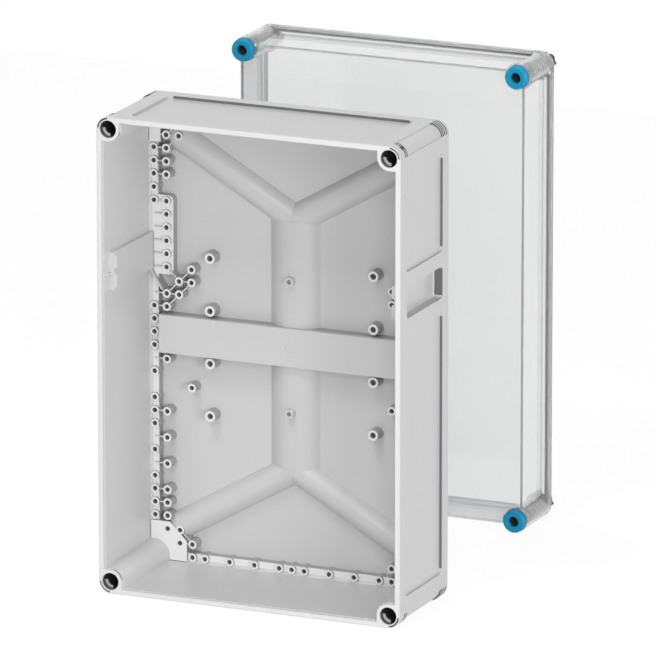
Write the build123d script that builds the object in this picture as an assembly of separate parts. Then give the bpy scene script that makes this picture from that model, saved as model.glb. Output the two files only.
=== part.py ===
from build123d import *
import math
import os

# Modular wall enclosure of clear-covered polycarbonate, with its cover taken off.
# Frame: X to the right, Y into the enclosure, Z up. The origin is the centre of the
# wall-fixing pattern, on the rear face of the base.

# Overall sizes
WIDTH = 300.0
HEIGHT = 450.0
BASE_DEPTH = 112.0
COVER_DEPTH = 58.0
CORNER_RADIUS = 12.0
EDGE_ROUND = 0.8

# Walls of the base
RIM_WIDTH = 6.0
BACK_WALL = 3.5
INNER_ROUND = 3.0
WALL_DRAFT = 1.5
TUBE_DRAFT = 3.5
FOOT_CHAMFER = 2.5
RIM_STEP_WIDTH = 1.2
RIM_STEP_DEPTH = 2.5

# Corner tubes and sockets of the base
LOCK_INSET = 11.5
SOCKET_RADIUS = 8.2
SOCKET_WALL = 4.1
SOCKET_END_WALL = 4.0
ARC_SLOT_GAP = 1.0
ARC_SLOT_WIDTH = 1.4
ARC_SLOT_DEPTH = 6.5
ARC_SLOT_ANGLE = 84.0
FIXING_RADIUS = 3.3

# Bayonet ledges in the sockets
LEDGE_DEPTH = 7.0
LEDGE_THICKNESS = 4.0
LEDGE_ANGLE = 84.0
BAYONET_CLEARANCE = 0.6

# Sunk bands round the outer corners, and the slots that reach into the sockets there
BAND_SINK = 1.2
BAND_FRONT = 17.0
BAND_REAR = 16.0
RING_SINK = 4.4
RING_WIDTH = 1.9
RING_PITCH = 3.6
FRONT_RING = 11.0
REAR_RING = 4.6
REAR_RING_PAIR = 9.0

# Sunk panels and pockets of the outside walls
PANEL_SINK = 2.5
PANEL_FRONT = 12.5
PANEL_REAR = 14.5
PANEL_ROUND = 6.0
SIDE_PANEL_END = 27.0
LOWER_PANEL_TOP = 50.0
UPPER_PANEL_BOTTOM = 106.0
END_PANEL_MARGIN = 28.0
POCKET_LOW = 62.5
POCKET_HIGH = 92.5
POCKET_FRONT = 15.5
POCKET_DEPTH = 9.0
POCKET_WALL = 2.5
WALL_SLOT_WIDTH = 4.0
WALL_SLOT_HEIGHT = 6.0
WALL_SLOT_DEPTH = 2.2
WALL_SLOT_Y = 11.8
WALL_SLOT_NEAR = 45.0
WALL_SLOT_FAR = 75.0
GUIDE_REACH = 8.0
GUIDE_THICKNESS = 2.0
GUIDE_HEIGHT = 12.0
GUIDE_RIB_START = 6.0
GUIDE_RIB_REACH = 2.5
GUIDE_RIB_THICKNESS = 1.6

# Relief of the back wall
CROSS_BAND_HALF = 18.0
CROSS_BAND_HEIGHT = 15.5
CROSS_BAND_MARGIN = 19.0
RELIEF_WALL = 2.8
SPINE_HALF = 24.5
SPINE_HEIGHT = 11.0
JUNCTION_Z = 118.0
ARM_HALF = 13.5
ARM_HEIGHT = 10.4
ARM_END_X = 35.0
ARM_END_Z = 40.0
ARM_SOLID_END = 18.0
MARK_RADIUS = 4.0
MARK_SINK = 0.6

# Ledges and screw posts, on a square grid that starts at the outside of the walls
GRID = 12.5
POST_HEIGHT = 11.0
POST_TOP = 4.1
POST_FOOT = 4.7
POST_HOLE = 2.3
POST_HOLE_DEPTH = 10.0
BIG_POST_TOP = 5.0
BIG_POST_FOOT = 5.9
BIG_POST_HOLE = 2.8
SPINE_POST_RISE = 5.5
LEDGE_HEIGHT = 8.5
LEDGE_WIDTH = 16.0
WIDE_LEDGE = 31.0
WIDE_LEDGE_LOW = 55.0
WIDE_LEDGE_HIGH = 130.0
WIDE_LEDGE_ROUND = 5.0
PLATE_REACH = 38.5
PLATE_SLANT = 60.0
UPPER_PLATE_REACH = 13.5
WEB_THICKNESS = 1.3
WEB_DROP = 1.0
WEB_REACH = 1.5
LOWEST_WEB = 4.5
BIG_POST_X = 81.5
FIN_THICKNESS = 1.5
FIN_HEIGHT = 13.0
FIN_TOP_X = 9.0
FIN_TOP_Z = 60.0
FIN_FOOT_X = 21.5
FIN_FOOT_Z = 41.0

# Cover
COVER_WALL = 2.8
COVER_PANEL = 3.0
COVER_INSET = 6.0
COVER_ROUND = 7.0
FLANGE_DEPTH = 9.0
FLANGE_INSIDE = 9.5
FLANGE_ROUND = 2.0
TUBE_BORE = 9.2
TUBE_SHOULDER = 10.0
TUBE_RING = 2.6
COLLAR_HEIGHT = 1.5
COLLAR_EXTRA = 1.8
GROOVE_INSET = 2.0
GROOVE_ROUND = 1.0
GROOVE_TUBE_GAP = 0.6
GROOVE_WIDTH = 3.2
GROOVE_DEPTH = 3.5
GASKET_PROUD = 1.0
GASKET_CLEARANCE = 0.1

# Locks
KNOB_RADIUS = 10.9
KNOB_DEPTH = 7.0
KNOB_CHAMFER = 1.6
KNOB_HOLE = 5.0
KNOB_MOUTH = 0.5
KNOB_GAP = 0.3
KNOB_SKIRT = 1.2
KNOB_SKIRT_EXTRA = 0.4
FIT_GAP = 0.1
NOSE_SINK = 4.6
SLOT_WIDTH = 1.8
SLOT_DEPTH = 2.2
HEAD_CLEARANCE = 0.4
HEAD_LENGTH = 15.0
NECK_RADIUS = 6.6
NECK_LENGTH = 3.0
STEM_RADIUS = 5.0
STEM_CLEARANCE = 0.08
STEM_REACH = 18.0
LUG_THICKNESS = 5.0
LUG_WIDTH = 5.0
LUG_RADIUS = 7.4
LUG_ANGLE = 135.0
CLIP_THICKNESS = 1.2
CLIP_RADIUS = 7.2
CLIP_GROOVE = 0.7
CLIP_GAP = 0.3
CLIP_MOUTH = 6.0
WASHER_THICKNESS = 1.2
SPRING_WIRE = 0.7
SPRING_TURNS = 5.5
SPRING_GAP = 0.15

# Where the cover stands beside the base: its front panel's depth behind the wall plane,
# and its shift to the left
COVER_SHIFT_X = -13.4
COVER_BEHIND = 225.0

# Places that follow from the sizes above
FRONT_Y = -BASE_DEPTH
FLOOR_Y = -BACK_WALL
LEDGE_Y = FLOOR_Y - LEDGE_HEIGHT
INNER_X = WIDTH / 2 - RIM_WIDTH
INNER_Z = HEIGHT / 2 - RIM_WIDTH
LOCK_X = WIDTH / 2 - LOCK_INSET
LOCK_Z = HEIGHT / 2 - LOCK_INSET
CORNERS = {
    "upper_left": (-1, 1),
    "upper_right": (1, 1),
    "lower_left": (-1, -1),
    "lower_right": (1, -1),
}


def prism(face, y_front, y_rear):
    """Extrudes a sketch drawn in X and Z from one depth to another."""
    plane = Plane(origin=(0, y_rear, 0), x_dir=(1, 0, 0), z_dir=(0, -1, 0))
    return extrude(plane * face, amount=y_rear - y_front)


def block(x_range, y_range, z_range):
    """Makes a box from its limits along X, Y and Z."""
    size = [abs(high - low) for low, high in (x_range, y_range, z_range)]
    middle = [(high + low) / 2 for low, high in (x_range, y_range, z_range)]
    return Pos(*middle) * Box(*size)


def rod(x, z, radius, y_front, y_rear):
    """Makes a cylinder along the depth."""
    return prism(Pos(x, z) * Circle(radius), y_front, y_rear)


def at_corners():
    """Gives the lock axis and the outward signs of each corner."""
    return [(sx * LOCK_X, sz * LOCK_Z, sx, sz) for sx, sz in CORNERS.values()]


def notch(x, z, sx, sz, radius):
    """Draws the corner area that a tube of the given radius takes from an opening."""
    reach = 2 * LOCK_INSET
    across = Pos(x + sx * reach / 2, z + sz * (reach - radius) / 2)
    upright = Pos(x + sx * (reach - radius) / 2, z + sz * reach / 2)
    return (
        Pos(x, z) * Circle(radius)
        + across * Rectangle(reach, reach + radius)
        + upright * Rectangle(reach + radius, reach)
    )


def opening(half_x, half_z, tube_radius, round_radius):
    """Draws a rounded rectangle that goes round the four corner tubes."""
    face = RectangleRounded(2 * half_x, 2 * half_z, round_radius)
    for x, z, sx, sz in at_corners():
        face -= notch(x, z, sx, sz, tube_radius)
    return face


def wedge(angle, middle, radius):
    """Draws a sector about the origin, as a fan wider than the given radius."""
    reach = 2 * radius
    low = math.radians(middle - angle / 2)
    high = math.radians(middle + angle / 2)
    points = [
        (0, 0),
        (reach * math.cos(low), reach * math.sin(low)),
        (reach * math.cos(high), reach * math.sin(high)),
    ]
    return make_face(Polyline(*points, close=True))


def outward_angle(sx, sz):
    """Gives the direction from a lock axis to its outer corner, in degrees."""
    return math.degrees(math.atan2(sz, sx))


# Base

def cavity():
    """Makes the room inside the walls and round the tubes, narrower at the ledges."""
    depth = LEDGE_Y - FRONT_Y
    front = Plane(origin=(0, FRONT_Y, 0), x_dir=(1, 0, 0), z_dir=(0, 1, 0))
    slope = math.degrees(math.atan2(WALL_DRAFT, depth))
    room = extrude(front * Rectangle(2 * INNER_X, 2 * INNER_Z), amount=depth, taper=slope)
    room = chamfer(room.faces().sort_by(Axis.Y)[-1].edges(), FOOT_CHAMFER)
    slope = math.degrees(math.atan2(TUBE_DRAFT, depth))
    for x, z, sx, sz in at_corners():
        # The plane looks into the enclosure, so its second axis points down
        face = notch(x, -z, sx, -sz, SOCKET_RADIUS + SOCKET_WALL)
        room -= extrude(front * face, amount=depth, taper=-slope)
    return room


def base_shell():
    """Makes the walls and the back of the base."""
    shell = prism(RectangleRounded(WIDTH, HEIGHT, CORNER_RADIUS), FRONT_Y, 0)
    rims = shell.faces().sort_by(Axis.Y)
    shell = fillet(rims[0].edges() + rims[-1].edges(), EDGE_ROUND)
    step = opening(
        INNER_X + RIM_STEP_WIDTH, INNER_Z + RIM_STEP_WIDTH,
        SOCKET_RADIUS + SOCKET_WALL - RIM_STEP_WIDTH, INNER_ROUND,
    )
    return shell - cavity() - floor_cut() - prism(step, FRONT_Y, FRONT_Y + RIM_STEP_DEPTH)


def socket_cuts():
    """Makes the bores, arc slots and wall-fixing holes of the corner tubes."""
    cuts = []
    inner = SOCKET_RADIUS + ARC_SLOT_GAP
    for x, z, sx, sz in at_corners():
        cuts.append(rod(x, z, SOCKET_RADIUS, FRONT_Y, -SOCKET_END_WALL))
        cuts.append(rod(x, z, FIXING_RADIUS, -SOCKET_END_WALL, 0))
        ring = Circle(inner + ARC_SLOT_WIDTH) - Circle(inner)
        arc = ring & wedge(ARC_SLOT_ANGLE, outward_angle(sx, sz), inner)
        cuts.append(prism(Pos(x, z) * arc, FRONT_Y, FRONT_Y + ARC_SLOT_DEPTH))
    return cuts


def bayonet_ledges():
    """Makes the two ledges in each socket that a turned lock grips behind."""
    ledges = []
    front = FRONT_Y + LEDGE_DEPTH
    ring = Circle(SOCKET_RADIUS) - Circle(STEM_RADIUS + BAYONET_CLEARANCE)
    for x, z, sx, sz in at_corners():
        for side in (0, 180):
            arc = ring & wedge(LEDGE_ANGLE, LUG_ANGLE + 90 + side, SOCKET_RADIUS)
            ledges.append(prism(Pos(x, z) * arc, front, front + LEDGE_THICKNESS))
    return ledges


def corner_ring(sx, sz, sink, y_front, y_rear):
    """Makes the cutter for a sunk ring round one outer corner."""
    centre_x = sx * (WIDTH / 2 - CORNER_RADIUS)
    centre_z = sz * (HEIGHT / 2 - CORNER_RADIUS)
    reach = 2 * CORNER_RADIUS
    square = Pos(centre_x + sx * reach / 2, centre_z + sz * reach / 2) * Rectangle(reach, reach)
    face = square - Pos(centre_x, centre_z) * Circle(CORNER_RADIUS - sink)
    return prism(face, y_front, y_rear)


def corner_cuts():
    """Makes the sunk bands and ring slots of the four outer corners."""
    cuts = []
    for sx, sz in CORNERS.values():
        cuts.append(corner_ring(sx, sz, BAND_SINK, FRONT_Y + BAND_FRONT, -BAND_REAR))
        for start in (FRONT_RING, FRONT_RING + RING_PITCH):
            front = FRONT_Y + start
            cuts.append(corner_ring(sx, sz, RING_SINK, front, front + RING_WIDTH))
        for start in (REAR_RING, REAR_RING_PAIR, REAR_RING_PAIR + RING_PITCH):
            cuts.append(corner_ring(sx, sz, RING_SINK, -start - RING_WIDTH, -start))
    return cuts


def side_recess(side, z_low, z_high, start, depth, radius):
    """Makes a rounded recess in a side wall, cut from the outside."""
    y_low, y_high = FRONT_Y + start, -PANEL_REAR
    face = RectangleRounded(y_high - y_low, z_high - z_low, radius)
    plane = Plane(
        origin=(side * WIDTH / 2, (y_low + y_high) / 2, (z_low + z_high) / 2),
        x_dir=(0, side, 0), z_dir=(side, 0, 0),
    )
    return extrude(plane * face, amount=-depth)


def end_recess(end):
    """Makes the rounded recess of the top or bottom wall."""
    y_low, y_high = FRONT_Y + PANEL_FRONT, -PANEL_REAR
    face = RectangleRounded(WIDTH - 2 * END_PANEL_MARGIN, y_high - y_low, PANEL_ROUND)
    plane = Plane(
        origin=(0, (y_low + y_high) / 2, end * HEIGHT / 2),
        x_dir=(1, 0, 0), z_dir=(0, 0, end),
    )
    return extrude(plane * face, amount=-PANEL_SINK)


def wall_slots(side):
    """Makes the four small slots near the front of a side wall."""
    depth = PANEL_SINK + WALL_SLOT_DEPTH
    middle = FRONT_Y + WALL_SLOT_Y
    slots = []
    for end in (1, -1):
        for distance in (WALL_SLOT_NEAR, WALL_SLOT_FAR):
            z = end * (HEIGHT / 2 - distance)
            slots.append(block(
                (side * (WIDTH / 2 - depth), side * WIDTH / 2),
                (middle - WALL_SLOT_WIDTH / 2, middle + WALL_SLOT_WIDTH / 2),
                (z - WALL_SLOT_HEIGHT / 2, z + WALL_SLOT_HEIGHT / 2),
            ))
    return slots


def outside_cuts():
    """Makes every recess of the four outside walls."""
    cuts = [end_recess(1), end_recess(-1)]
    top = HEIGHT / 2 - SIDE_PANEL_END
    for side in (1, -1):
        for low, high in ((UPPER_PANEL_BOTTOM, top), (-top, LOWER_PANEL_TOP)):
            cuts.append(side_recess(side, low, high, PANEL_FRONT, PANEL_SINK, PANEL_ROUND))
        cuts.append(side_recess(
            side, POCKET_LOW, POCKET_HIGH, POCKET_FRONT, POCKET_DEPTH, INNER_ROUND,
        ))
        cuts.extend(wall_slots(side))
    return cuts


def pocket_backs():
    """Makes the walls round the side pockets inside, with the guides at their front."""
    parts = []
    front = FRONT_Y + POCKET_FRONT - POCKET_WALL
    outer, inner = WIDTH / 2 - RIM_WIDTH, WIDTH / 2 - POCKET_DEPTH - POCKET_WALL
    low, high = POCKET_LOW - POCKET_WALL, POCKET_HIGH + POCKET_WALL
    rib_top = POCKET_LOW + GUIDE_HEIGHT + GUIDE_RIB_THICKNESS
    for side in (1, -1):
        parts.append(block((side * inner, side * outer), (front, FLOOR_Y), (low, high)))
        reach = (side * (outer - GUIDE_REACH), side * outer)
        depth = (front, front + GUIDE_THICKNESS)
        parts.append(block(reach, depth, (POCKET_LOW, POCKET_LOW + GUIDE_HEIGHT)))
        parts.append(block(reach, depth, (POCKET_HIGH - GUIDE_HEIGHT, POCKET_HIGH)))
        parts.append(block(
            (side * (outer - GUIDE_RIB_REACH), side * outer),
            (FRONT_Y + GUIDE_RIB_START, front + GUIDE_THICKNESS),
            (rib_top - GUIDE_RIB_THICKNESS, rib_top),
        ))
    return parts


def arch_radius(half, height):
    """Gives the radius of a round arch from its half width and its height."""
    return (half * half + height * height) / (2 * height)


def spine(end, skin):
    """Makes half of the upright ridge of the back, less a skin of the given thickness."""
    radius = arch_radius(SPINE_HALF, SPINE_HEIGHT)
    axis_y = FLOOR_Y - SPINE_HEIGHT + radius
    body = Pos(0, axis_y, end * JUNCTION_Z / 2) * Cylinder(radius - skin, JUNCTION_Z)
    return body


def arm(sx, sz, skin, cut_back):
    """Makes one slanting ridge of the back, less a skin and shorter at its outer end."""
    radius = arch_radius(ARM_HALF, ARM_HEIGHT)
    axis_y = FLOOR_Y - ARM_HEIGHT + radius
    start = Vector(0, axis_y, sz * JUNCTION_Z)
    line = Vector(sx * (WIDTH / 2 - ARM_END_X), axis_y, sz * (HEIGHT / 2 - ARM_END_Z)) - start
    length = line.length - cut_back
    body = Plane(origin=start, z_dir=line) * Cylinder(
        radius - skin, length, align=(Align.CENTER, Align.CENTER, Align.MIN)
    )
    end = start + line.normalized() * length
    return body + Pos(*start) * Sphere(radius - skin) + Pos(*end) * Sphere(radius - skin)


def relief(skin, cut_back, y_front, y_rear):
    """Makes the raised figure of the back wall between two depths."""
    room = block((-INNER_X, INNER_X), (y_front, y_rear), (-INNER_Z, INNER_Z))
    figure = [spine(1, skin), spine(-1, skin)]
    figure += [arm(sx, sz, skin, cut_back) for sx, sz in CORNERS.values()]
    parts = [room & piece for piece in figure]
    half = INNER_X - CROSS_BAND_MARGIN + RIM_WIDTH - skin
    reach = CROSS_BAND_HALF - skin
    top = FLOOR_Y - CROSS_BAND_HEIGHT + skin
    parts.append(block((-half, half), (top, y_rear), (-reach, reach)))
    return parts


def plate_face(sx, sz):
    """Draws the flat plate of one inner corner, which is narrower in the upper corners."""
    reach = UPPER_PLATE_REACH if sz > 0 else PLATE_REACH
    middle = Pos(sx * (INNER_X - reach / 2), sz * (INNER_Z - PLATE_REACH / 2))
    slant = make_face(Polyline(
        (sx * INNER_X, sz * INNER_Z),
        (sx * (INNER_X - PLATE_SLANT), sz * INNER_Z),
        (sx * INNER_X, sz * (INNER_Z - PLATE_SLANT)),
        close=True,
    ))
    return middle * Rectangle(reach, PLATE_REACH) & slant


def floor_cut():
    """Makes the hollow between the ledges that run along the inside of the walls."""
    half_x, half_z = WIDTH / 2 - LEDGE_WIDTH, HEIGHT / 2 - LEDGE_WIDTH
    face = Rectangle(2 * half_x, 2 * half_z)
    for sx, sz in CORNERS.values():
        face -= plate_face(sx, sz)
    for side in (1, -1):
        width = WIDE_LEDGE - RIM_WIDTH + WIDE_LEDGE_ROUND
        middle = Pos(
            side * (INNER_X + WIDE_LEDGE_ROUND - width / 2), (WIDE_LEDGE_LOW + WIDE_LEDGE_HIGH) / 2,
        )
        face -= middle * RectangleRounded(width, WIDE_LEDGE_HIGH - WIDE_LEDGE_LOW, WIDE_LEDGE_ROUND)
    return prism(face, LEDGE_Y, FLOOR_Y)


def corner_plates():
    """Makes the plates of the inner corners, level with the screw posts."""
    return [prism(plate_face(sx, sz), FLOOR_Y - POST_HEIGHT, FLOOR_Y) for sx, sz in CORNERS.values()]


# Rows of the screw-post grid, counted from the top wall, from the middle and from the
# bottom wall. Each column is counted from the side wall.
POST_COLUMNS = {
    1: ((4, 5, 6, 7, 8), (2, 1, 0, -1, -3, -5), (12, 11, 9, 7, 6, 5, 4)),
    2: ((3, 4, 5, 6, 8, 9, 10, 11), (6, 5, 3, 2, -2, -6), (10, 8, 6, 5, 4, 3)),
    3: ((2, 3), (4, 3), (3, 2)),
    4: ((), (5, 4, -4), (2,)),
}
END_ROW = (-8, -7, -5, -3, -1, 0, 1, 3, 5, 7, 8)


def column_posts(column, rows):
    """Lists the places of one column of posts on the left side."""
    x = -(WIDTH / 2 - column * GRID)
    top, middle, bottom = rows
    places = [(x, HEIGHT / 2 - row * GRID) for row in top]
    places += [(x, row * GRID) for row in middle]
    places += [(x, -(HEIGHT / 2 - row * GRID)) for row in bottom]
    return places


def small_posts():
    """Lists the places of all the small posts."""
    places = []
    for column, rows in POST_COLUMNS.items():
        left = column_posts(column, rows)
        places += left + [(-x, z) for x, z in left]
    end_z = HEIGHT / 2 - GRID
    places += [(index * GRID, side * end_z) for index in END_ROW for side in (1, -1)]
    return places


def big_posts():
    """Lists the places of the eight large posts."""
    rows = (6, 2, -2, -6)
    return [(side * BIG_POST_X, row * GRID) for side in (1, -1) for row in rows]


def spine_posts():
    """Lists the two posts that stand on the upright ridge."""
    return [(0, 5 * GRID), (0, -5 * GRID)]


def web(start, end):
    """Makes the thin web between two neighbouring posts."""
    line = Vector(end[0] - start[0], end[1] - start[1])
    face = Rectangle(line.length, WEB_THICKNESS, align=(Align.MIN, Align.CENTER))
    turned = Pos(*start) * Rot(0, 0, math.degrees(math.atan2(line.Y, line.X))) * face
    return prism(turned, FLOOR_Y - POST_HEIGHT + WEB_DROP, FLOOR_Y)


def webs():
    """Joins the outer posts to the walls, and the others to their neighbours."""
    edge, end = WIDTH / 2 - GRID, HEIGHT / 2 - GRID
    parts = [
        web((index * GRID, side * end), (index * GRID, side * INNER_Z))
        for index in END_ROW for side in (1, -1)
    ]
    for side in (1, -1):
        first = [(side * x, z) for x, z in column_posts(1, POST_COLUMNS[1])]
        parts += [web(place, (-side * INNER_X, place[1])) for place in first]
        second = [(side * x, z) for x, z in column_posts(2, POST_COLUMNS[2])]
        third = [(side * x, z) for x, z in column_posts(3, POST_COLUMNS[3])]
        fourth = [(side * x, z) for x, z in column_posts(4, POST_COLUMNS[4])]
        lowest = LOWEST_WEB * GRID - HEIGHT / 2
        parts += [web(place, (-side * edge, place[1])) for place in second if place[1] > lowest]
        for near, far in ((second, third), (third, fourth)):
            for a in near:
                parts += [web(a, b) for b in far if math.dist(a, b) < WEB_REACH * GRID]
    return parts


def post(x, z, top, foot, height):
    """Makes one tapered screw post on the back, without its hole."""
    middle = FLOOR_Y - height / 2
    return Pos(x, middle, z) * Rot(90, 0, 0) * Cone(foot, top, height)


def posts():
    """Makes all the screw posts, without their holes."""
    parts = [post(x, z, POST_TOP, POST_FOOT, POST_HEIGHT) for x, z in small_posts()]
    parts += [post(x, z, BIG_POST_TOP, BIG_POST_FOOT, POST_HEIGHT) for x, z in big_posts()]
    height = SPINE_HEIGHT + SPINE_POST_RISE
    parts += [post(x, z, POST_TOP, POST_FOOT, height) for x, z in spine_posts()]
    return parts


def post_holes():
    """Makes the screw holes of all the posts."""
    top = FLOOR_Y - POST_HEIGHT
    foot = top + POST_HOLE_DEPTH
    cuts = [rod(x, z, POST_HOLE, top, foot) for x, z in small_posts()]
    cuts += [rod(x, z, BIG_POST_HOLE, top, foot) for x, z in big_posts()]
    high = FLOOR_Y - SPINE_HEIGHT - SPINE_POST_RISE
    cuts += [rod(x, z, POST_HOLE, high, high + SPINE_POST_RISE) for x, z in spine_posts()]
    return cuts


def fins():
    """Makes the slanting fin beside each side pocket."""
    parts = []
    for side in (1, -1):
        line = Vector(side * (FIN_TOP_X - FIN_FOOT_X), FIN_FOOT_Z - FIN_TOP_Z)
        face = Rectangle(line.length, FIN_THICKNESS, align=(Align.MIN, Align.CENTER))
        angle = math.degrees(math.atan2(line.Y, line.X))
        turned = Pos(side * (WIDTH / 2 - FIN_TOP_X), FIN_TOP_Z) * Rot(0, 0, angle) * face
        parts.append(prism(turned, FLOOR_Y - FIN_HEIGHT, FLOOR_Y))
    return parts


def enclosure_base():
    """Makes the grey base as one moulding."""
    body = base_shell() + relief(0, 0, FRONT_Y, FLOOR_Y)
    for pieces in (corner_plates(), pocket_backs(), fins(), webs(), posts()):
        body += pieces
    for cuts in (outside_cuts(), socket_cuts(), corner_cuts()):
        body -= cuts
    body += bayonet_ledges()
    body -= relief(RELIEF_WALL, ARM_SOLID_END, FRONT_Y, 0)
    body -= post_holes()
    mark_y = FLOOR_Y - CROSS_BAND_HEIGHT
    return body - rod(0, 0, MARK_RADIUS, mark_y, mark_y + MARK_SINK)


# Cover, drawn with its front panel at depth zero and its rear rim at COVER_DEPTH

def cover_outline(half_inset, radius):
    """Draws a rounded rectangle that is inset from the overall outline."""
    return RectangleRounded(WIDTH - 2 * half_inset, HEIGHT - 2 * half_inset, radius)


def groove_face(slack):
    """Draws the closed path of the gasket, narrower by the slack on each side."""
    outer_tube = SOCKET_RADIUS + GROOVE_TUBE_GAP + slack
    inset = GROOVE_INSET + slack
    width = GROOVE_WIDTH - 2 * slack
    outer = opening(WIDTH / 2 - inset, HEIGHT / 2 - inset, outer_tube, GROOVE_ROUND)
    inset += width
    inner = opening(WIDTH / 2 - inset, HEIGHT / 2 - inset, outer_tube + width, GROOVE_ROUND)
    return outer - inner


def cover_shell():
    """Makes the tray and the rear rim of the cover."""
    outer = prism(cover_outline(COVER_INSET, COVER_ROUND), 0, COVER_DEPTH)
    outer = fillet(outer.faces().sort_by(Axis.Y)[0].edges(), COVER_WALL / 2)
    flange = prism(cover_outline(0, CORNER_RADIUS), COVER_DEPTH - FLANGE_DEPTH, COVER_DEPTH)
    flange = fillet(flange.faces().sort_by(Axis.Y)[0].edges(), EDGE_ROUND)
    body = outer + flange
    tube = LOCK_INSET
    body += [rod(x, z, tube, 0, COVER_DEPTH) for x, z, sx, sz in at_corners()]
    half_x = WIDTH / 2 - COVER_INSET - COVER_WALL
    half_z = HEIGHT / 2 - COVER_INSET - COVER_WALL
    rear = COVER_DEPTH - FLANGE_DEPTH
    cavity = prism(opening(half_x, half_z, tube, COVER_ROUND - COVER_WALL), COVER_PANEL, rear)
    mouth_x = WIDTH / 2 - FLANGE_INSIDE
    mouth_z = HEIGHT / 2 - FLANGE_INSIDE
    ring = tube + TUBE_RING
    mouth = prism(opening(mouth_x, mouth_z, ring, FLANGE_ROUND), rear, COVER_DEPTH)
    return body - cavity - mouth


def enclosure_cover():
    """Makes the clear cover with its lock tubes and its gasket groove."""
    body = cover_shell()
    outline = cover_outline(0, CORNER_RADIUS)
    for x, z, sx, sz in at_corners():
        collar = outline & (Pos(x, z) * Circle(LOCK_INSET + COLLAR_EXTRA))
        body += prism(collar, -COLLAR_HEIGHT, COVER_PANEL)
    shoulder = COVER_DEPTH - TUBE_SHOULDER
    for x, z, sx, sz in at_corners():
        body -= rod(x, z, TUBE_BORE, -COLLAR_HEIGHT, shoulder)
        body -= rod(x, z, STEM_RADIUS + STEM_CLEARANCE, shoulder, COVER_DEPTH)
    return body - prism(groove_face(0), COVER_DEPTH - GROOVE_DEPTH, COVER_DEPTH)


def cover_gasket():
    """Makes the seal in the groove of the cover's rear rim."""
    front = COVER_DEPTH - GROOVE_DEPTH
    return prism(groove_face(GASKET_CLEARANCE), front, COVER_DEPTH + GASKET_PROUD)


# Locks, drawn about the depth axis with the cover's front panel at depth zero

KNOB_REAR = -COLLAR_HEIGHT - KNOB_GAP
KNOB_FRONT = KNOB_REAR - KNOB_DEPTH
NECK_Y = HEAD_LENGTH
STEM_Y = HEAD_LENGTH + NECK_LENGTH
SHOULDER_Y = COVER_DEPTH - TUBE_SHOULDER
TIP_Y = COVER_DEPTH + STEM_REACH


def turned(points):
    """Turns a profile, given as radius and depth pairs, about the depth axis."""
    face = make_face(Polyline(*[(radius, depth, 0) for radius, depth in points], close=True))
    return revolve(face, Axis.Y)


def lock_knob():
    """Makes the blue ring of a lock, with its chamfer and its stepped skirt."""
    foot = KNOB_REAR - KNOB_SKIRT
    return turned([
        (KNOB_HOLE, KNOB_FRONT + KNOB_MOUTH),
        (KNOB_HOLE + KNOB_MOUTH, KNOB_FRONT),
        (KNOB_RADIUS - KNOB_CHAMFER, KNOB_FRONT),
        (KNOB_RADIUS, KNOB_FRONT + KNOB_CHAMFER),
        (KNOB_RADIUS, foot),
        (KNOB_RADIUS + KNOB_SKIRT_EXTRA, foot),
        (KNOB_RADIUS + KNOB_SKIRT_EXTRA, KNOB_REAR),
        (KNOB_HOLE, KNOB_REAR),
    ])


def lock_shaft():
    """Makes the black shaft of a lock, from the driver slot to the bayonet lugs."""
    nose = KNOB_HOLE - FIT_GAP
    head = TUBE_BORE - HEAD_CLEARANCE
    groove_y = COVER_DEPTH + CLIP_GAP
    groove = STEM_RADIUS - CLIP_GROOVE
    nose_y = KNOB_FRONT + NOSE_SINK
    shaft = turned([
        (0, nose_y), (nose, nose_y), (nose, KNOB_REAR), (head, KNOB_REAR),
        (head, NECK_Y), (NECK_RADIUS, NECK_Y), (NECK_RADIUS, STEM_Y),
        (STEM_RADIUS, STEM_Y), (STEM_RADIUS, groove_y), (groove, groove_y),
        (groove, groove_y + CLIP_THICKNESS), (STEM_RADIUS, groove_y + CLIP_THICKNESS),
        (STEM_RADIUS, TIP_Y), (0, TIP_Y),
    ])
    lugs = Rectangle(2 * LUG_RADIUS, LUG_WIDTH) & Circle(LUG_RADIUS)
    shaft += prism(Rot(0, 0, LUG_ANGLE) * lugs, TIP_Y - LUG_THICKNESS, TIP_Y)
    slot = Rot(0, 0, LUG_ANGLE) * Rectangle(2 * nose, SLOT_WIDTH)
    return shaft - prism(slot, nose_y, nose_y + SLOT_DEPTH)


def lock_washer():
    """Makes the spring's seat on the shoulder of the cover's tube."""
    outer = TUBE_BORE - HEAD_CLEARANCE
    ring = Circle(outer) - Circle(STEM_RADIUS + 2 * FIT_GAP)
    return prism(ring, SHOULDER_Y - WASHER_THICKNESS, SHOULDER_Y)


def lock_clip():
    """Makes the open clip that keeps the shaft in the cover."""
    front = COVER_DEPTH + CLIP_GAP
    ring = Circle(CLIP_RADIUS) - Circle(STEM_RADIUS - CLIP_GROOVE + FIT_GAP)
    mouth = Pos(0, -CLIP_RADIUS) * Rectangle(CLIP_MOUTH, 2 * CLIP_RADIUS)
    return prism(ring - mouth, front, front + CLIP_THICKNESS)


def lock_spring():
    """Makes the coil spring between the shaft's neck and the washer."""
    start = NECK_Y + SPRING_WIRE + SPRING_GAP
    end = SHOULDER_Y - WASHER_THICKNESS - SPRING_WIRE - SPRING_GAP
    coil = (NECK_RADIUS + TUBE_BORE) / 2
    path = Helix(
        pitch=(end - start) / SPRING_TURNS, height=end - start, radius=coil,
        center=(0, start, 0), direction=(0, 1, 0),
    )
    wire = Plane(origin=path @ 0, z_dir=path % 0) * Circle(SPRING_WIRE)
    return sweep(wire, path=path, is_frenet=True)


def write(name, shape):
    """Writes one node."""
    export_step(shape, f"parts/{name}.step")


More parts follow.
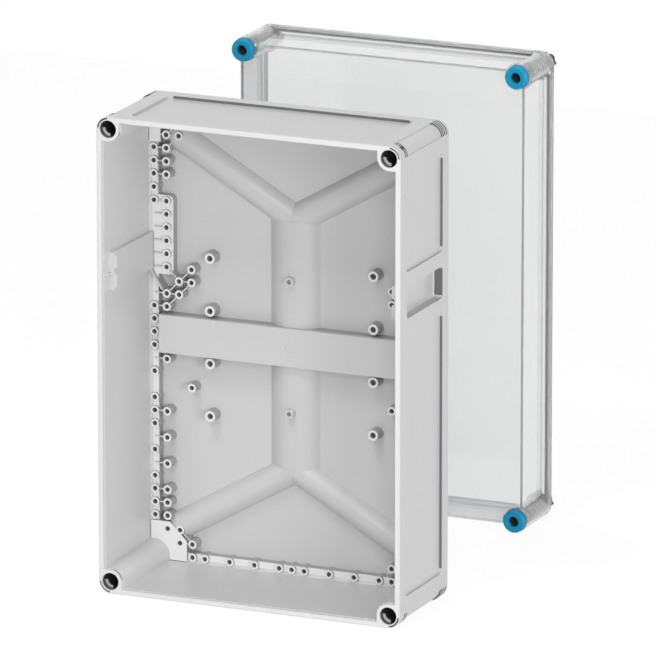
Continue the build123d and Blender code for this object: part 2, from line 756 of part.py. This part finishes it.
def main():
    """Builds every piece and writes it in its place."""
    os.makedirs("parts", exist_ok=True)
    write("enclosure_base", enclosure_base())
    stand = Pos(COVER_SHIFT_X, COVER_BEHIND, 0)
    write("enclosure_cover", stand * enclosure_cover())
    write("cover_gasket", stand * cover_gasket())
    pieces = {
        "lock_knob": lock_knob(),
        "lock_shaft": lock_shaft(),
        "lock_spring": lock_spring(),
        "lock_washer": lock_washer(),
        "lock_clip": lock_clip(),
    }
    for corner, (sx, sz) in CORNERS.items():
        place = stand * Pos(sx * LOCK_X, 0, sz * LOCK_Z)
        for name, shape in pieces.items():
            write(f"{name}_{corner}", place * shape)


main()
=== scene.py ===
import math

import bpy
from bpy.props import FloatProperty, FloatVectorProperty, PointerProperty
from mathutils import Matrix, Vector


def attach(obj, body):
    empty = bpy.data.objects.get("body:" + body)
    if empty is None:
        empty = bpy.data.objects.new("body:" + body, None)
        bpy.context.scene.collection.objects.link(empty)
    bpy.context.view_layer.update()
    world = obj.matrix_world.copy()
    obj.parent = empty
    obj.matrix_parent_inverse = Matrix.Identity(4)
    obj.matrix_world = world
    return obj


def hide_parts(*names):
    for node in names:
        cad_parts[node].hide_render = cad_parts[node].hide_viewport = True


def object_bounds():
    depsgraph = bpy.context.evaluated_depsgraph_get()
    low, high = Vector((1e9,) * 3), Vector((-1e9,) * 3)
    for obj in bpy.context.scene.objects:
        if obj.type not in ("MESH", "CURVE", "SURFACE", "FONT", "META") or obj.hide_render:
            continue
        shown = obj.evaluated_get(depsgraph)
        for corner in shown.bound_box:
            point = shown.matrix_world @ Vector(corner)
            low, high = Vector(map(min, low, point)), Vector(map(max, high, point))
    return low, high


bl_info = {
    "name": "Modular Wall Enclosure",
    "version": (1, 0, 0),
    "blender": (4, 5, 0),
    "location": "View3D > Sidebar > Enclosure",
    "description": "Finishes a grey wall enclosure, its clear cover and its corner locks",
    "category": "Object",
}

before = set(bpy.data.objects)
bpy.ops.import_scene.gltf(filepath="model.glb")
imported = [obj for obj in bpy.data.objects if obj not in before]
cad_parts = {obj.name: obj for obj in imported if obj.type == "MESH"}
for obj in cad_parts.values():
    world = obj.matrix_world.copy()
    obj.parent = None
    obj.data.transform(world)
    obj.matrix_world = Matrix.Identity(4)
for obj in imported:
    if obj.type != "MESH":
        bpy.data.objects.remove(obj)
CAD_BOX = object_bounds()
MIDDLE = (CAD_BOX[0] + CAD_BOX[1]) / 2
CORNERS = ("upper_left", "upper_right", "lower_left", "lower_right")
MM = 0.001
WHITE = (1.0, 1.0, 1.0, 1.0)
# Y of the surface direction where a front face begins and is full, and the same for a flank;
# they place the painted highlights and painted shade
FRONT_FACE = (-0.95, -0.99)
FLANK = (-0.35, -0.2)
# Half depths of the bands in which the ledges' and the other front faces are found, for their
# painted highlights
LEDGE_BAND = MM / 3
FACE_BAND = MM / 4
SOFT_END = MM / 10
# Joining of a copied mesh's triangles, and rounding of its edges
MERGE_DISTANCE = MM / 100
FLAT_ANGLE = math.radians(1)
SHARP_ANGLE = math.radians(40)
SMOOTH_ANGLE = math.radians(30)
ROUND_SEGMENTS = 4


def length(name, description, default):
    """Makes a property for a length in metres."""
    return FloatProperty(
        name=name, description=description, default=default, unit="LENGTH", precision=5,
    )


def colour(name, description, default):
    """Makes a property for a colour."""
    return FloatVectorProperty(
        name=name, description=description, default=default, subtype="COLOR", size=3,
    )


def share(name, description, default):
    """Makes a property for a number from nought to one."""
    return FloatProperty(
        name=name, description=description, default=default, min=0, max=1, subtype="FACTOR",
    )


def number(name, description, default):
    """Makes a property for a plain number."""
    return FloatProperty(name=name, description=description, default=default)


class BaseFinish(bpy.types.PropertyGroup):
    """The moulded grey plastic of the base, with painted highlights and painted shade."""

    colour: colour("Colour", "Light grey of the moulding", (0.63, 0.63, 0.635))
    colour_low: colour("Shade", "The darker end of its faint clouding", (0.60, 0.60, 0.605))
    # Painted highlight: a lighter tone on the front faces of the posts and ledges
    painted_face_highlight: colour("Faces", "Bright faces of the posts and the ledges", (0.83, 0.83, 0.835))
    # Painted highlight: a lighter tone on the front face of the rim
    painted_rim_highlight: colour("Rim", "Bright face of the front rim", (0.77, 0.77, 0.775))
    # Painted shade: a darker tone on the flanks of the posts and ledges
    painted_flank_shade: colour("Flanks", "Shaded flanks of posts and ledges", (0.34, 0.34, 0.345))
    # Painted shade: a dark tone on the rear steps of the sunk panels and pockets
    painted_step_shade: colour("Steps", "Shaded rear steps of the sunk panels", (0.16, 0.16, 0.165))
    # Painted shade: a near-black tone inside the sockets, the ring slots and the wall slots
    painted_pit_shade: colour("Pits", "Insides of the sockets and the slots", (0.06, 0.06, 0.06))
    roughness: share("Roughness", "Satin finish of the mould", 0.3)
    # The levels and reaches from here to foot_high place the painted highlights and painted
    # shade
    ledge_level: length("Ledge level", "Height of the ledges over the wall plane", 0.0120)
    post_level: length("Post level", "Height of the screw posts over the wall plane", 0.0145)
    flank_level: length("Flank level", "Height at which the shaded flanks begin", 0.003)
    step_low: length("Step rear", "Level of the sunk panels' steps, rear limit", 0.013)
    step_high: length("Step front", "Level of the sunk panels' steps, front limit", 0.016)
    spine_x: length("Spine X", "Half width of the spine's strip", 0.0100)
    spine_z: length("Spine Z", "Half length of the spine's strip", 0.2000)
    rim_level: length("Rim level", "Level past which a front face is the rim", 0.1115)
    lug_level: length("Lug level", "Height of the bayonet ledges over the wall plane", 0.105)
    inner_x: length("Inner X", "Distance of the side walls' insides at the foot", 0.1418)
    inner_z: length("Inner Z", "Distance of the end walls' insides at the foot", 0.2168)
    corner_x: length("Corner X", "Distance of the corners' axes from the middle", 0.138)
    corner_z: length("Corner Z", "Distance of the corners' axes from the middle", 0.213)
    slot_low: length("Slot rear", "Level of the wall slots' rear ends", 0.0975)
    slot_high: length("Slot front", "Level of the wall slots' front ends", 0.1028)
    slot_floor: length("Slot floor", "Distance of the slots' floors from the middle", 0.1445)
    slot_mouth: length("Slot mouth", "Distance of the sunk panels from the middle", 0.1474)
    pit_radius: length("Pit radius", "Reach of the sockets round the corners' axes", 0.0105)
    ring_radius: length("Ring radius", "Reach of the ring slots round the corners' axes", 0.0119)
    ring_low: length("Ring rear", "Level of the front ring slots' rear ends", 0.0953)
    ring_high: length("Ring front", "Level of the front ring slots' front ends", 0.1012)
    foot_low: length("Foot rear", "Level of the rear ring slots' rear ends", 0.0044)
    foot_high: length("Foot front", "Level of the rear ring slots' front ends", 0.0162)
    grain: length("Grain", "Size of the fine mould grain", 0.0007)
    grain_height: length("Grain height", "Height of the mould grain", 0.00003)
    wave: length("Wave", "Length of the slow waviness of the walls", 0.05)
    wave_height: length("Wave height", "Height of the slow waviness", 0.0002)
    cloud_detail: number("Cloud detail", "Layers of the faint clouding", 3.0)


class CoverFinish(bpy.types.PropertyGroup):
    """The clear plastic of the cover."""

    tint: colour("Tint", "What the panel lets through", (0.86, 0.865, 0.87))
    clear: share("Clear", "Share of the light that passes unscattered", 0.8)
    roughness: share("Roughness", "Polish of the panel", 0.02)
    bending: number("Index", "Index of refraction of the plastic's thin walls", 1.42)


class LockFinish(bpy.types.PropertyGroup):
    """The blue knobs, black shafts and steel springs of the locks."""

    blue: colour("Blue", "The knobs' plastic", (0.006, 0.29, 0.50))
    black: colour("Black", "The shafts' plastic", (0.012, 0.012, 0.013))
    steel: colour("Steel", "The springs' wire", (0.55, 0.55, 0.56))
    blue_roughness: share("Blue roughness", "Finish of the knobs", 0.35)
    black_roughness: share("Black roughness", "Finish of the shafts", 0.5)
    steel_roughness: share("Steel roughness", "Finish of the wire", 0.28)
    shine: share("Shine", "Strength of the plastics' gloss", 0.25)
    grain: length("Grain", "Size of the plastics' fine grain", 0.0004)
    grain_height: length("Grain height", "Height of the plastics' grain", 0.00002)


class SealFinish(bpy.types.PropertyGroup):
    """The foamed seal of the cover."""

    colour: colour("Colour", "Grey of the foam", (0.45, 0.45, 0.45))
    roughness: share("Roughness", "Dull finish of the foam", 0.85)
    cell: length("Cell", "Size of the foam's cells", 0.0005)
    cell_share: share("Cell depth", "Depth of the cells as a share of their size", 0.25)
    rounding: length("Rounding", "Radius of the bead's edges", 0.0009)


class StageSettings(bpy.types.PropertyGroup):
    """The camera, the floor and the lamps."""

    camera_azimuth: number("Camera azimuth", "Degrees to the right of the front", 23.53)
    camera_pitch: number("Camera pitch", "Degrees that the camera looks down", 15.05)
    camera_distance: length("Camera distance", "From the camera to its target", 9.0)
    target_x: length("Target X", "Point in the middle of the view", 0.0818)
    target_y: length("Target Y", "Point in the middle of the view", -0.118)
    target_z: length("Target Z", "Point in the middle of the view", 0.0523)
    lens: number("Lens", "Focal length in millimetres", 548.2)
    clip_end: length("View end", "Farthest that the camera sees", 90.0)
    floor_size: length("Floor size", "Width of the floor", 3.4)
    floor_gap: length("Floor gap", "From the floor up to the object's foot", 0.0002)
    floor_colour: colour("Floor colour", "What the floor sends to the object", (0.8, 0.8, 0.8))
    floor_shadow: share("Floor shadow", "Share of the lamps' light in the floor's look", 0.12)
    floor_glow: share("Floor glow", "The floor's own brightness to the camera", 0.92)
    lamp_distance: length("Lamp distance", "From the lamps to the object", 3.0)
    lamp_size: length("Lamp size", "Width of the lamps", 0.9)
    fill: share("Fill", "Strength of the even light from all around", 0.2)


GROUPS = {
    "enclosure_base": BaseFinish,
    "enclosure_cover": CoverFinish,
    "enclosure_locks": LockFinish,
    "enclosure_seal": SealFinish,
    "enclosure_stage": StageSettings,
}


class Graph:
    """Adds nodes to a material and joins them up."""

    def __init__(self, tree):
        self.tree = tree

    def add(self, kind, settings=None, **inputs):
        """Adds a node, sets its settings, and sets or links its inputs by name."""
        node = self.tree.nodes.new(kind)
        for key, value in (settings or {}).items():
            setattr(node, key, value)
        for key, value in inputs.items():
            socket = node.inputs[int(key[1:]) if key[1:].isdigit() else key.replace("_", " ")]
            if isinstance(value, bpy.types.NodeSocket):
                self.tree.links.new(value, socket)
            else:
                socket.default_value = value
        return node

    def link(self, source, target):
        """Joins two sockets."""
        self.tree.links.new(source, target)


def new_material(name, **inputs):
    """Makes a material with one shader and gives it plain values."""
    material = bpy.data.materials.new(name)
    material.use_nodes = True
    shader = material.node_tree.nodes["Principled BSDF"]
    for key, value in inputs.items():
        shader.inputs[key.replace("_", " ")].default_value = value
    return material, Graph(material.node_tree), shader


def opaque(rgb):
    """Gives a colour its full alpha."""
    return (*rgb, 1.0)


def noise(graph, place, size, detail=2.0):
    """Adds a noise whose spots are about the given size in metres."""
    return graph.add("ShaderNodeTexNoise", Vector=place, Scale=1 / size, Detail=detail)


def bump(graph, height, distance, normal=None):
    """Adds a bump of the given height in metres."""
    node = graph.add("ShaderNodeBump", Height=height, Distance=distance, Strength=1.0)
    if normal is not None:
        graph.link(normal, node.inputs["Normal"])
    return node


def calc(graph, operation, first, second=0.0):
    """Adds a math node and gives its result."""
    node = graph.add("ShaderNodeMath", {"operation": operation}, _0=first, _1=second)
    return node.outputs[0]


def ramp(graph, value, start, end):
    """Gives nought at the start, one at the end, and what lies between on the way."""
    return graph.add("ShaderNodeMapRange", Value=value, From_Min=start, From_Max=end).outputs[0]


def between(graph, value, low, high, blur=SOFT_END):
    """Gives one where a value lies between two limits, and nought outside, with soft ends."""
    rise = ramp(graph, value, low - blur, low + blur)
    fall = ramp(graph, value, high + blur, high - blur)
    return calc(graph, "MULTIPLY", rise, fall)


def about(graph, value, middle, half):
    """Gives one where a value lies about a middle."""
    return between(graph, value, middle - half, middle + half)


def tinted(graph, under, factor, rgb):
    """Lays a colour over another where the factor is one."""
    mix = graph.add("ShaderNodeMix", {"data_type": "RGBA"}, Factor=factor)
    graph.link(under, mix.inputs["A"])
    mix.inputs["B"].default_value = opaque(rgb)
    return mix.outputs["Result"]


def painted_highlights_and_shade(graph, place, finish, plain):
    """Paints highlights on front faces, and paints shade on flanks, steps and the insides of
    sockets and slots.
    """

    def both(first, second):
        return calc(graph, "MULTIPLY", first, second)

    def below(value, limit):
        return calc(graph, "LESS_THAN", value, limit)

    def above(value, limit):
        return calc(graph, "GREATER_THAN", value, limit)

    normal = graph.add("ShaderNodeTexCoord").outputs["Normal"]
    front = graph.add("ShaderNodeSeparateXYZ", Vector=normal).outputs["Y"]
    facing, upright = ramp(graph, front, *FRONT_FACE), ramp(graph, front, *FLANK)
    axes = graph.add("ShaderNodeSeparateXYZ", Vector=place).outputs
    level = calc(graph, "MULTIPLY", axes["Y"], -1.0)
    across, up = calc(graph, "ABSOLUTE", axes["X"]), calc(graph, "ABSOLUTE", axes["Z"])
    # Painted shade on the flanks of the posts and ledges, low down in the enclosure
    inside = both(both(below(across, finish.inner_x), upright), below(up, finish.inner_z))
    low = between(graph, level, finish.flank_level, finish.post_level, MM)
    tone = tinted(graph, plain, both(low, inside), finish.painted_flank_shade)
    # Painted highlights on the front faces of the posts, ledges and rim
    ledges = about(graph, level, finish.ledge_level, LEDGE_BAND)
    posts = about(graph, level, finish.post_level, FACE_BAND)
    spine = both(below(across, finish.spine_x), below(up, finish.spine_z))
    tops = calc(graph, "MAXIMUM", ledges, calc(graph, "SUBTRACT", posts, spine))
    rim = ramp(graph, level, finish.rim_level - SOFT_END, finish.rim_level + SOFT_END)
    tone = tinted(graph, tone, both(tops, facing), finish.painted_face_highlight)
    tone = tinted(graph, tone, both(rim, facing), finish.painted_rim_highlight)
    # Painted shade on the rear steps of the sunk panels and pockets outside
    outside = calc(graph, "MAXIMUM", above(across, finish.inner_x), above(up, finish.inner_z))
    steps = both(between(graph, level, finish.step_low, finish.step_high), outside)
    tone = tinted(graph, tone, both(steps, facing), finish.painted_step_shade)
    # Painted shade in the insides of the small slots near the front of the side walls
    long = between(graph, level, finish.slot_low, finish.slot_high)
    sunk = between(graph, across, finish.slot_floor, finish.slot_mouth)
    tone = tinted(graph, tone, both(long, sunk), finish.painted_pit_shade)
    # Painted shade in the insides of the sockets and of the ring slots
    side = calc(graph, "SUBTRACT", across, finish.corner_x)
    over = calc(graph, "SUBTRACT", up, finish.corner_z)
    radius = calc(graph, "SQRT", calc(graph, "ADD", both(side, side), both(over, over)))
    deep = between(graph, level, 0.0, finish.rim_level - MM)
    lug = about(graph, level, finish.lug_level, FACE_BAND)
    deep = calc(graph, "SUBTRACT", deep, both(lug, facing))
    tone = tinted(graph, tone, both(below(radius, finish.pit_radius), deep), finish.painted_pit_shade)
    rings = calc(
        graph, "MAXIMUM", between(graph, level, finish.ring_low, finish.ring_high),
        between(graph, level, finish.foot_low, finish.foot_high),
    )
    rings = both(rings, below(radius, finish.ring_radius))
    return tinted(graph, tone, both(rings, facing), finish.painted_pit_shade)


def grey_with_painted_light(finish):
    """The base's satin light grey plastic, with painted highlights and painted shade."""
    material, graph, shader = new_material("grey_with_painted_light", Roughness=finish.roughness)
    place = graph.add("ShaderNodeTexCoord").outputs["Object"]
    cloud = noise(graph, place, finish.wave, finish.cloud_detail)
    mix = graph.add("ShaderNodeMix", {"data_type": "RGBA"}, Factor=cloud.outputs["Fac"])
    mix.inputs["A"].default_value = opaque(finish.colour_low)
    mix.inputs["B"].default_value = opaque(finish.colour)
    tone = painted_highlights_and_shade(graph, place, finish, mix.outputs["Result"])
    graph.link(tone, shader.inputs["Base Color"])
    wave = bump(graph, noise(graph, place, finish.wave).outputs["Fac"], finish.wave_height)
    grain = noise(graph, place, finish.grain).outputs["Fac"]
    fine = bump(graph, grain, finish.grain_height, wave.outputs["Normal"])
    graph.link(fine.outputs["Normal"], shader.inputs["Normal"])
    return material


def clear_plastic(finish):
    """The cover's clear polished plastic."""
    return new_material(
        "clear_plastic", Base_Color=opaque(finish.tint), Roughness=finish.roughness,
        Transmission_Weight=finish.clear, IOR=finish.bending,
    )[0]


def lock_plastic(name, rgb, roughness, finish):
    """A small moulded piece's plastic, with fine grain."""
    material, graph, shader = new_material(
        name, Base_Color=opaque(rgb), Roughness=roughness, Specular_IOR_Level=finish.shine,
    )
    place = graph.add("ShaderNodeTexCoord").outputs["Object"]
    fine = bump(graph, noise(graph, place, finish.grain).outputs["Fac"], finish.grain_height)
    graph.link(fine.outputs["Normal"], shader.inputs["Normal"])
    return material


def spring_steel(finish):
    """Drawn steel wire."""
    return new_material(
        "spring_steel", Base_Color=opaque(finish.steel),
        Roughness=finish.steel_roughness, Metallic=1.0,
    )[0]


def foam(finish):
    """The seal's foam, with fine cells."""
    material, graph, shader = new_material(
        "seal_foam", Base_Color=opaque(finish.colour), Roughness=finish.roughness,
    )
    place = graph.add("ShaderNodeTexCoord").outputs["Object"]
    cells = graph.add("ShaderNodeTexVoronoi", Vector=place, Scale=1 / finish.cell)
    fine = bump(graph, cells.outputs["Distance"], finish.cell * finish.cell_share)
    graph.link(fine.outputs["Normal"], shader.inputs["Normal"])
    return material


def paint(node, material):
    """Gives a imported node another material."""
    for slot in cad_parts[node].material_slots:
        slot.material = material


def copy_node(node, name):
    """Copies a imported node's mesh into a new object, with its triangles joined into faces."""
    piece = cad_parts[node].copy()
    piece.data = piece.data.copy()
    piece.name = piece.data.name = name
    bpy.context.collection.objects.link(piece)
    bpy.ops.object.select_all(action="DESELECT")
    piece.select_set(True)
    bpy.context.view_layer.objects.active = piece
    bpy.ops.mesh.customdata_custom_splitnormals_clear()
    bpy.ops.object.mode_set(mode="EDIT")
    bpy.ops.mesh.select_all(action="SELECT")
    bpy.ops.mesh.remove_doubles(threshold=MERGE_DISTANCE)
    bpy.ops.mesh.dissolve_limited(angle_limit=FLAT_ANGLE)
    bpy.ops.mesh.normals_make_consistent(inside=False)
    bpy.ops.object.mode_set(mode="OBJECT")
    return piece


def round_edges(radius):
    """Rounds every sharp edge of the active object."""
    bpy.ops.object.mode_set(mode="EDIT")
    bpy.ops.mesh.select_mode(type="EDGE")
    bpy.ops.mesh.select_all(action="DESELECT")
    bpy.ops.mesh.edges_select_sharp(sharpness=SHARP_ANGLE)
    bpy.ops.mesh.bevel(
        offset=radius, segments=ROUND_SEGMENTS, affect="EDGES", clamp_overlap=False,
    )
    bpy.ops.mesh.select_all(action="SELECT")
    bpy.ops.mesh.remove_doubles(threshold=MERGE_DISTANCE)
    bpy.ops.mesh.normals_make_consistent(inside=False)
    bpy.ops.object.mode_set(mode="OBJECT")
    bpy.ops.object.shade_smooth_by_angle(angle=SMOOTH_ANGLE)


class EnclosureOperator(bpy.types.Operator):
    """Shared settings of this file's operators."""

    bl_options = {"REGISTER", "UNDO"}


class FinishBase(EnclosureOperator):
    """Gives the base its grey moulded plastic, with painted highlights and painted shade"""

    bl_idname = "enclosure.finish_base"
    bl_label = "Finish base"

    def execute(self, context):
        paint("enclosure_base", grey_with_painted_light(context.scene.enclosure_base))
        return {"FINISHED"}


class FinishCover(EnclosureOperator):
    """Gives the cover its clear plastic"""

    bl_idname = "enclosure.finish_cover"
    bl_label = "Finish cover"

    def execute(self, context):
        paint("enclosure_cover", clear_plastic(context.scene.enclosure_cover))
        return {"FINISHED"}


class FinishSeal(EnclosureOperator):
    """Models the seal as a rounded foam bead"""

    bl_idname = "enclosure.finish_seal"
    bl_label = "Finish seal"

    def execute(self, context):
        finish = context.scene.enclosure_seal
        bead = copy_node("cover_gasket", "seal_bead")
        round_edges(finish.rounding)
        bead.data.materials.clear()
        bead.data.materials.append(foam(finish))
        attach(bead, "cover")
        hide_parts("cover_gasket")
        return {"FINISHED"}


class FinishLocks(EnclosureOperator):
    """Gives the locks their plastics and steel"""

    bl_idname = "enclosure.finish_locks"
    bl_label = "Finish locks"

    def execute(self, context):
        finish = context.scene.enclosure_locks
        black = lock_plastic("lock_black", finish.black, finish.black_roughness, finish)
        steel = spring_steel(finish)
        kinds = {
            "lock_knob": lock_plastic("lock_blue", finish.blue, finish.blue_roughness, finish),
            "lock_shaft": black,
            "lock_clip": black,
            "lock_spring": steel,
            "lock_washer": steel,
        }
        for kind, material in kinds.items():
            for corner in CORNERS:
                paint(f"{kind}_{corner}", material)
        return {"FINISHED"}


# Lamps: azimuth to the right of the front and elevation, in degrees, and the brightness that
# the lamp alone gives a white surface that faces it
LAMPS = {
    "lamp_front_high": (-10.0, 60.0, 0.30),
    "lamp_front": (0.0, 32.0, 0.11),
    "lamp_front_right": (25.0, 5.0, 0.23),
    "lamp_right_wide": (50.0, 8.0, 0.24),
    "lamp_right": (75.0, 10.0, 0.20),
    "lamp_overhead": (-120.0, 65.0, 0.21),
}


def direction(azimuth, elevation):
    """Gives the unit vector from the object towards a place round it."""
    a, e = math.radians(azimuth), math.radians(elevation)
    return Vector((math.sin(a) * math.cos(e), -math.cos(a) * math.cos(e), math.sin(e)))


def add_lamp(name, azimuth, elevation, level, settings):
    """Adds a square lamp that faces the object."""
    towards, distance = direction(azimuth, elevation), settings.lamp_distance
    bpy.ops.object.light_add(type="AREA", location=MIDDLE + towards * distance)
    lamp = bpy.context.object
    lamp.name = name
    lamp.data.shape = "SQUARE"
    lamp.data.size = settings.lamp_size
    lamp.data.energy = level * math.pi**2 * distance**2
    lamp.rotation_mode = "QUATERNION"
    lamp.rotation_quaternion = (-towards).to_track_quat("-Z", "Y")


def seen_directly(graph):
    """Gives one where a ray shows the scene to the camera, itself or by gloss or glass."""
    rays = graph.add("ShaderNodeLightPath").outputs
    plain = calc(graph, "MAXIMUM", rays["Is Camera Ray"], rays["Is Glossy Ray"])
    return calc(graph, "MAXIMUM", plain, rays["Is Transmission Ray"])


def pick(graph, unseen, seen):
    """Lights the scene with one shader and shows the camera another."""
    return graph.add(
        "ShaderNodeMixShader",
        _0=seen_directly(graph), _1=unseen.outputs[0], _2=seen.outputs[0],
    )


def build_floor(settings):
    """Adds the pale floor, white to the camera but for the object's soft shadow."""
    place = (MIDDLE.x, MIDDLE.y, CAD_BOX[0].z - settings.floor_gap)
    bpy.ops.mesh.primitive_plane_add(size=settings.floor_size, location=place)
    floor = bpy.context.object
    floor.name = "floor"
    material = bpy.data.materials.new("floor_white")
    material.use_nodes = True
    material.node_tree.nodes.clear()
    graph = Graph(material.node_tree)
    body = graph.add("ShaderNodeBsdfDiffuse", Color=opaque(settings.floor_colour))
    shadow = graph.add("ShaderNodeBsdfDiffuse", Color=opaque(3 * (settings.floor_shadow,)))
    glow = graph.add("ShaderNodeEmission", Color=WHITE, Strength=settings.floor_glow)
    seen = graph.add("ShaderNodeAddShader", _0=shadow.outputs[0], _1=glow.outputs[0])
    mix = pick(graph, body, seen)
    graph.add("ShaderNodeOutputMaterial", Surface=mix.outputs[0])
    floor.data.materials.append(material)


def build_world(settings):
    """Lights the scene evenly, and shows white where the camera sees past the floor."""
    world = bpy.data.worlds.new("studio")
    bpy.context.scene.world = world
    world.use_nodes = True
    world.node_tree.nodes.clear()
    graph = Graph(world.node_tree)
    fill = graph.add("ShaderNodeBackground", Color=WHITE, Strength=settings.fill)
    white = graph.add("ShaderNodeBackground", Color=WHITE, Strength=1.0)
    mix = pick(graph, fill, white)
    graph.add("ShaderNodeOutputWorld", Surface=mix.outputs[0])


def build_camera(settings):
    """Adds the camera at the photograph's angle."""
    target = Vector((settings.target_x, settings.target_y, settings.target_z))
    towards = direction(settings.camera_azimuth, settings.camera_pitch)
    bpy.ops.object.camera_add(location=target + towards * settings.camera_distance)
    camera = bpy.context.object
    camera.rotation_mode = "QUATERNION"
    camera.rotation_quaternion = (-towards).to_track_quat("-Z", "Y")
    camera.data.lens = settings.lens
    camera.data.clip_end = settings.clip_end
    bpy.context.scene.camera = camera


class BuildStage(EnclosureOperator):
    """Adds the floor, the world, the lamps and the camera"""

    bl_idname = "enclosure.build_stage"
    bl_label = "Build stage"

    def execute(self, context):
        settings = context.scene.enclosure_stage
        build_floor(settings)
        build_world(settings)
        for name, values in LAMPS.items():
            add_lamp(name, *values, settings)
        build_camera(settings)
        context.scene.view_settings.view_transform = "Standard"
        return {"FINISHED"}


OPERATORS = (FinishBase, FinishCover, FinishSeal, FinishLocks, BuildStage)


class EnclosurePanel(bpy.types.Panel):
    """Lists the sizes, the colours and the steps of the enclosure."""

    bl_idname = "VIEW3D_PT_enclosure"
    bl_label = "Enclosure"
    bl_space_type = "VIEW_3D"
    bl_region_type = "UI"
    bl_category = "Enclosure"

    def draw(self, context):
        for name, group in GROUPS.items():
            box = self.layout.box()
            box.label(text=group.__name__)
            for key in group.__annotations__:
                box.prop(getattr(context.scene, name), key)
        for operator in OPERATORS:
            self.layout.operator(operator.bl_idname)


CLASSES = (*GROUPS.values(), *OPERATORS, EnclosurePanel)


def register():
    """Adds the classes and the scene's settings."""
    for cls in CLASSES:
        bpy.utils.register_class(cls)
    for name, group in GROUPS.items():
        setattr(bpy.types.Scene, name, PointerProperty(type=group))


def unregister():
    """Takes the settings and the classes away again."""
    for name in GROUPS:
        delattr(bpy.types.Scene, name)
    for cls in reversed(CLASSES):
        bpy.utils.unregister_class(cls)


def main():
    """Runs every step in order."""
    register()
    bpy.ops.object.select_all(action="DESELECT")
    bpy.ops.enclosure.finish_base()
    bpy.ops.enclosure.finish_cover()
    bpy.ops.enclosure.finish_seal()
    bpy.ops.enclosure.finish_locks()
    bpy.ops.enclosure.build_stage()


if __name__ == "__main__":
    main()
